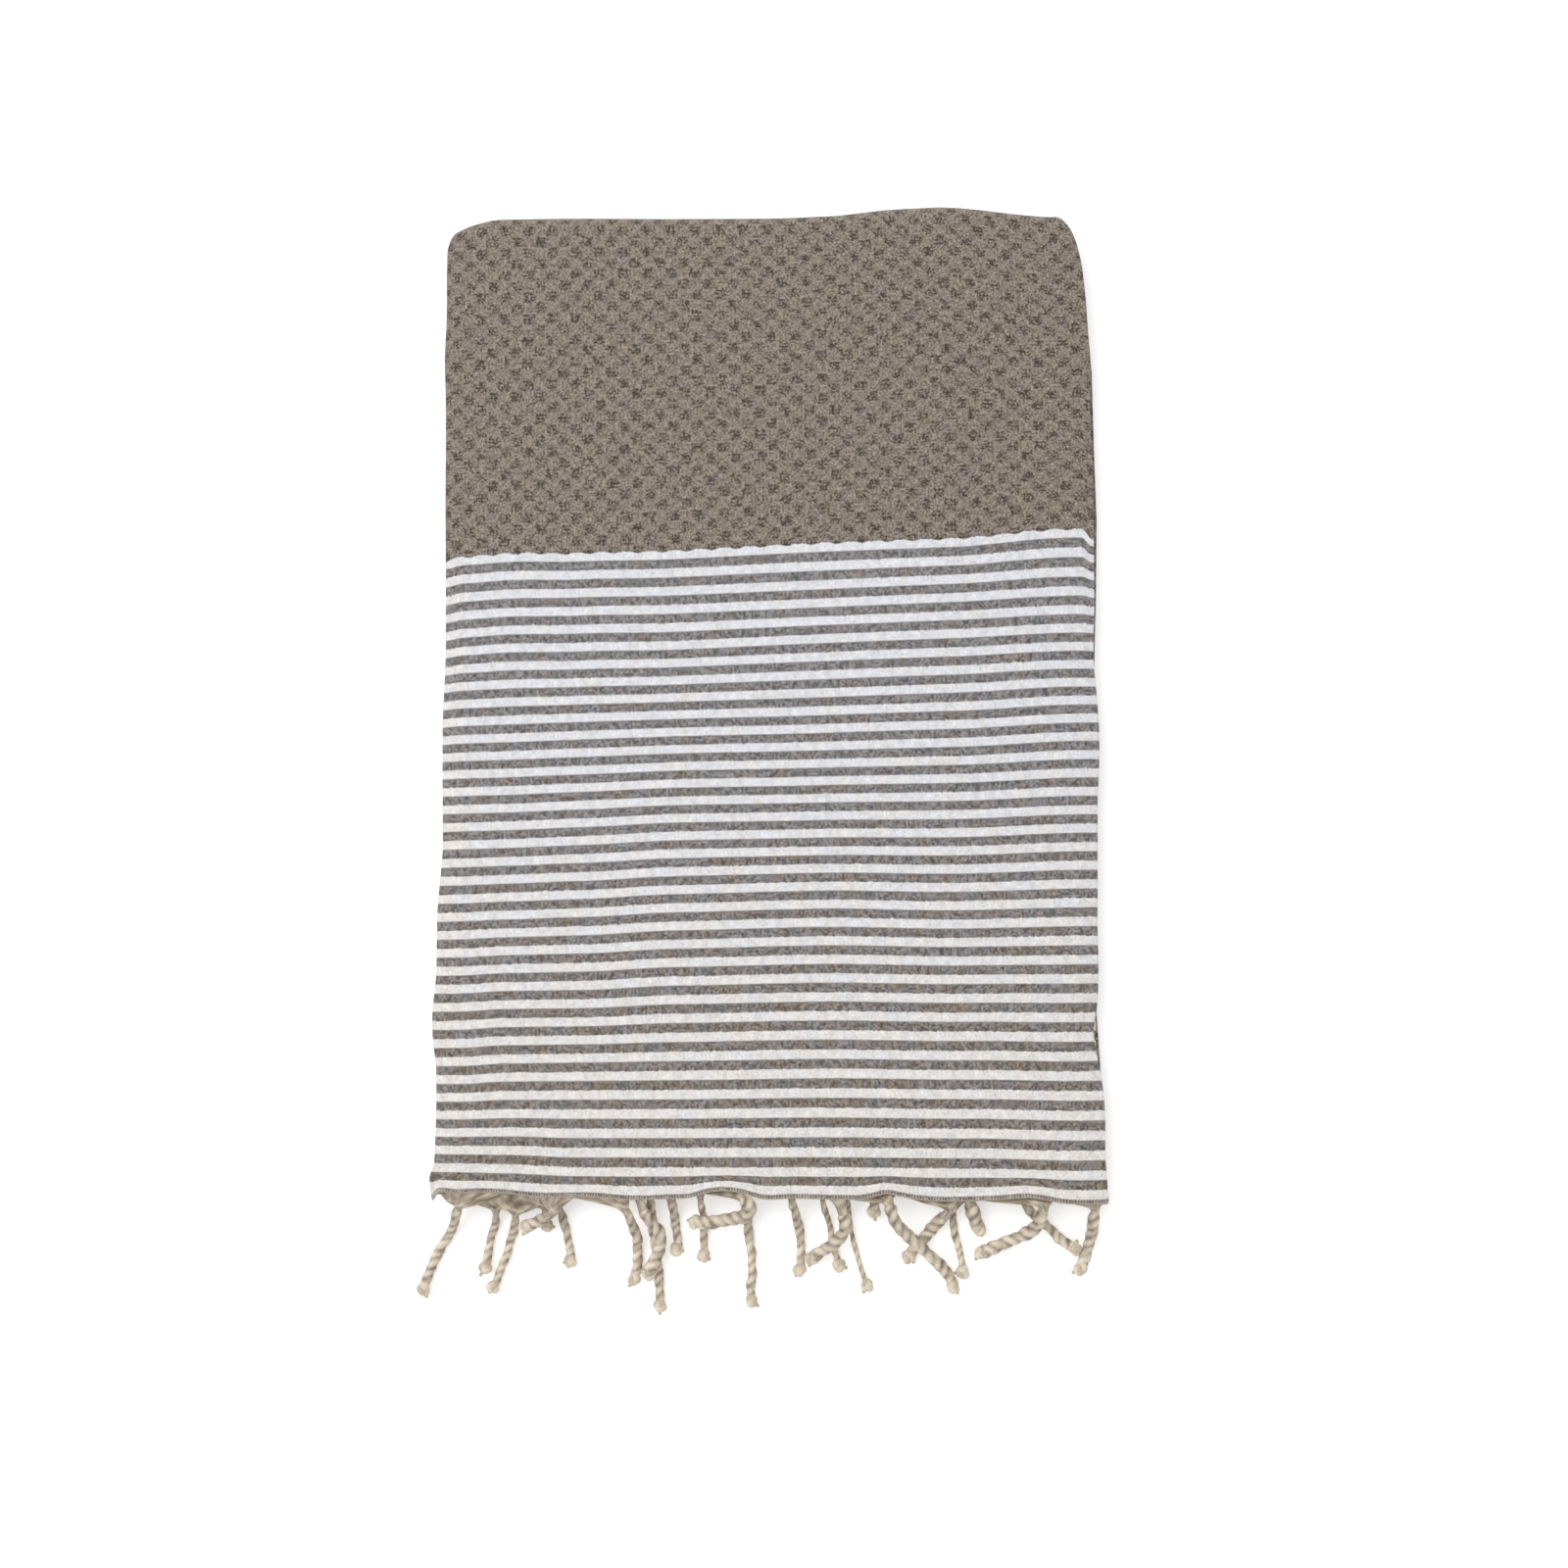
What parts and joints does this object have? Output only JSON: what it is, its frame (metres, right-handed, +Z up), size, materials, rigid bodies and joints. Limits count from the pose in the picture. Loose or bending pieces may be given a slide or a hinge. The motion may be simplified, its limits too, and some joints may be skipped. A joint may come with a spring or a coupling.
{
  "type": "hammam towel",
  "caption": "Folded flat-weave cotton towel, honeycomb body and striped end band, twisted and knotted fringe along its front edge; lies flat",
  "frame": {"origin": "On the surface that the towel lies on, at the middle of its bounding box in plan, tassels included", "axes": "+X across the folded towel, to the right seen from the fringe; +Y towards the round folded edge at the back; +Z up"},
  "size_m": [0.3466, 0.566, 0.0215],
  "materials": {
    "woven_cotton": "flat honeycomb and oxford weave, cream warp and grey-brown weft, with a white and grey-brown striped end band",
    "cotton_yarn": "twisted two-ply cream cotton yarn"
  },
  "bodies": {
    "root": {"towel": "woven_cotton", "fringe_upper": "cotton_yarn", "fringe_lower": "cotton_yarn"}
  },
  "joints": []
}
